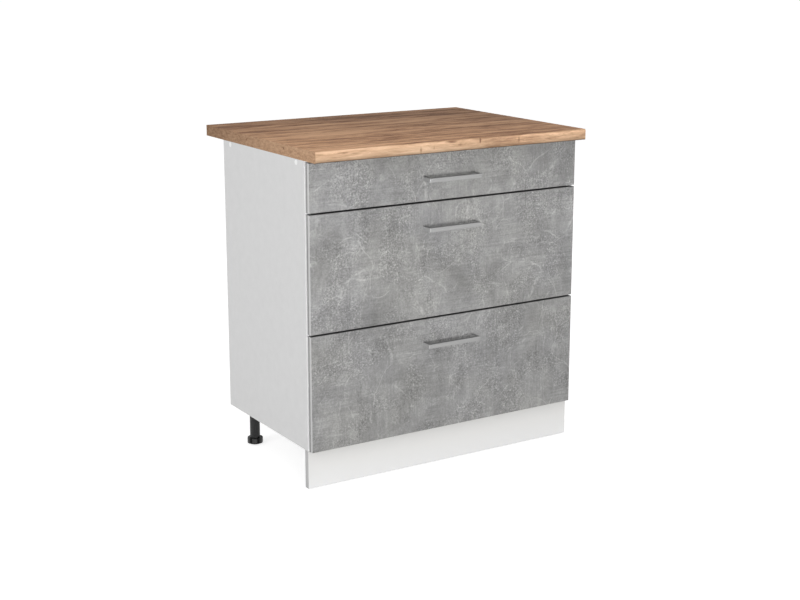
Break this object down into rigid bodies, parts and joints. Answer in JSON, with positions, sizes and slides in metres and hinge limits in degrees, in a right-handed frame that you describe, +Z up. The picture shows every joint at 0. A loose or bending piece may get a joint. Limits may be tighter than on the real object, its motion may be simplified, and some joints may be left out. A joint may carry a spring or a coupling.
{
  "type": "kitchen base cabinet with drawers",
  "caption": "Kitchen base cabinet with stacked drawers on roller runners, wood-look worktop, bar handles, plinth and levelling feet.",
  "frame": {"origin": "on the floor, below the middle of the worktop", "axes": "+X to the right of someone who faces the drawers, +Y towards the wall, +Z up; drawers open along -Y"},
  "size_m": [0.8, 0.6, 0.848],
  "materials": {
    "white_board": "white melamine-faced chipboard, satin",
    "white_hardboard": "thin white lacquered fibreboard",
    "plinth_white": "white laminated plinth board, satin",
    "worktop_oak": "oak-look laminate over chipboard, fine matt grain",
    "concrete_front": "concrete-look laminate on board, matt with a light brushed texture",
    "brushed_handle": "brushed light grey metal",
    "black_plastic": "moulded black plastic",
    "white_plastic": "smooth white plastic",
    "roller_nylon": "pale nylon",
    "runner_white": "white coated steel sheet",
    "zinc_steel": "zinc-plated steel"
  },
  "bodies": {
    "cabinet": {"side_panel_left": "white_board", "side_panel_right": "white_board", "bottom_panel": "white_board", "top_rail_front": "white_board", "top_rail_rear": "white_board", "back_panel": "white_hardboard", "worktop": "worktop_oak", "plinth_board": "plinth_white", "plinth_clips": "black_plastic", "leg_sockets": "black_plastic", "leg_tubes": "black_plastic", "leg_screws": "zinc_steel", "carcass_screws": "zinc_steel", "screw_caps": "white_plastic", "cam_fittings": "zinc_steel", "worktop_screws": "zinc_steel", "back_panel_nails": "zinc_steel", "runner_screws": "zinc_steel", "runner_channels_bottom": "runner_white", "runner_channels_middle": "runner_white", "runner_channels_top": "runner_white"},
    "drawer_bottom": {"drawer_bottom_front": "concrete_front", "drawer_bottom_side_left": "white_board", "drawer_bottom_side_right": "white_board", "drawer_bottom_back": "white_board", "drawer_bottom_base": "white_hardboard", "drawer_bottom_handle": "brushed_handle", "drawer_bottom_handle_screws": "zinc_steel", "drawer_bottom_runners": "runner_white", "drawer_bottom_fasteners": "zinc_steel"},
    "channel_rollers_bottom": {"channel_rollers_bottom": "roller_nylon"},
    "drawer_rollers_bottom": {"drawer_bottom_rollers": "roller_nylon"},
    "drawer_middle": {"drawer_middle_front": "concrete_front", "drawer_middle_side_left": "white_board", "drawer_middle_side_right": "white_board", "drawer_middle_back": "white_board", "drawer_middle_base": "white_hardboard", "drawer_middle_handle": "brushed_handle", "drawer_middle_handle_screws": "zinc_steel", "drawer_middle_runners": "runner_white", "drawer_middle_fasteners": "zinc_steel"},
    "channel_rollers_middle": {"channel_rollers_middle": "roller_nylon"},
    "drawer_rollers_middle": {"drawer_middle_rollers": "roller_nylon"},
    "drawer_top": {"drawer_top_front": "concrete_front", "drawer_top_side_left": "white_board", "drawer_top_side_right": "white_board", "drawer_top_back": "white_board", "drawer_top_base": "white_hardboard", "drawer_top_handle": "brushed_handle", "drawer_top_handle_screws": "zinc_steel", "drawer_top_runners": "runner_white", "drawer_top_fasteners": "zinc_steel"},
    "channel_rollers_top": {"channel_rollers_top": "roller_nylon"},
    "drawer_rollers_top": {"drawer_top_rollers": "roller_nylon"},
    "foot_front_left": {"levelling_foot_front_left": "black_plastic"},
    "foot_rear_left": {"levelling_foot_rear_left": "black_plastic"},
    "foot_front_right": {"levelling_foot_front_right": "black_plastic"},
    "foot_rear_right": {"levelling_foot_rear_right": "black_plastic"}
  },
  "joints": [
    {"name": "drawer_bottom_slide", "type": "slide", "parent": "cabinet", "child": "drawer_bottom", "axis": [0, -1, 0], "range_m": [0, 0.3]},
    {"name": "channel_rollers_bottom_spin", "type": "hinge", "parent": "cabinet", "child": "channel_rollers_bottom", "pos_m": [0, -0.227, 0.1325], "axis": [1, 0, 0], "range_deg": [0, 1720]},
    {"name": "drawer_rollers_bottom_spin", "type": "hinge", "parent": "drawer_bottom", "child": "drawer_rollers_bottom", "pos_m": [0, 0.141, 0.1325], "axis": [1, 0, 0], "range_deg": [0, 1475]},
    {"name": "drawer_middle_slide", "type": "slide", "parent": "cabinet", "child": "drawer_middle", "axis": [0, -1, 0], "range_m": [0, 0.3]},
    {"name": "channel_rollers_middle_spin", "type": "hinge", "parent": "cabinet", "child": "channel_rollers_middle", "pos_m": [0, -0.227, 0.4305], "axis": [1, 0, 0], "range_deg": [0, 1720]},
    {"name": "drawer_rollers_middle_spin", "type": "hinge", "parent": "drawer_middle", "child": "drawer_rollers_middle", "pos_m": [0, 0.141, 0.4305], "axis": [1, 0, 0], "range_deg": [0, 1475]},
    {"name": "drawer_top_slide", "type": "slide", "parent": "cabinet", "child": "drawer_top", "axis": [0, -1, 0], "range_m": [0, 0.3]},
    {"name": "channel_rollers_top_spin", "type": "hinge", "parent": "cabinet", "child": "channel_rollers_top", "pos_m": [0, -0.227, 0.7285], "axis": [1, 0, 0], "range_deg": [0, 1720]},
    {"name": "drawer_rollers_top_spin", "type": "hinge", "parent": "drawer_top", "child": "drawer_rollers_top", "pos_m": [0, 0.141, 0.7285], "axis": [1, 0, 0], "range_deg": [0, 1475]},
    {"name": "foot_front_left_adjust", "type": "slide", "parent": "cabinet", "child": "foot_front_left", "axis": [0, 0, -1], "range_m": [0, 0.02]},
    {"name": "foot_rear_left_adjust", "type": "slide", "parent": "cabinet", "child": "foot_rear_left", "axis": [0, 0, -1], "range_m": [0, 0.02]},
    {"name": "foot_front_right_adjust", "type": "slide", "parent": "cabinet", "child": "foot_front_right", "axis": [0, 0, -1], "range_m": [0, 0.02]},
    {"name": "foot_rear_right_adjust", "type": "slide", "parent": "cabinet", "child": "foot_rear_right", "axis": [0, 0, -1], "range_m": [0, 0.02]}
  ],
  "couplings": [
    {"joint": "channel_rollers_bottom_spin", "follows": "drawer_bottom_slide", "rad_per_m": 100},
    {"joint": "drawer_rollers_bottom_spin", "follows": "drawer_bottom_slide", "rad_per_m": 85.47},
    {"joint": "channel_rollers_middle_spin", "follows": "drawer_middle_slide", "rad_per_m": 100},
    {"joint": "drawer_rollers_middle_spin", "follows": "drawer_middle_slide", "rad_per_m": 85.47},
    {"joint": "channel_rollers_top_spin", "follows": "drawer_top_slide", "rad_per_m": 100},
    {"joint": "drawer_rollers_top_spin", "follows": "drawer_top_slide", "rad_per_m": 85.47}
  ]
}
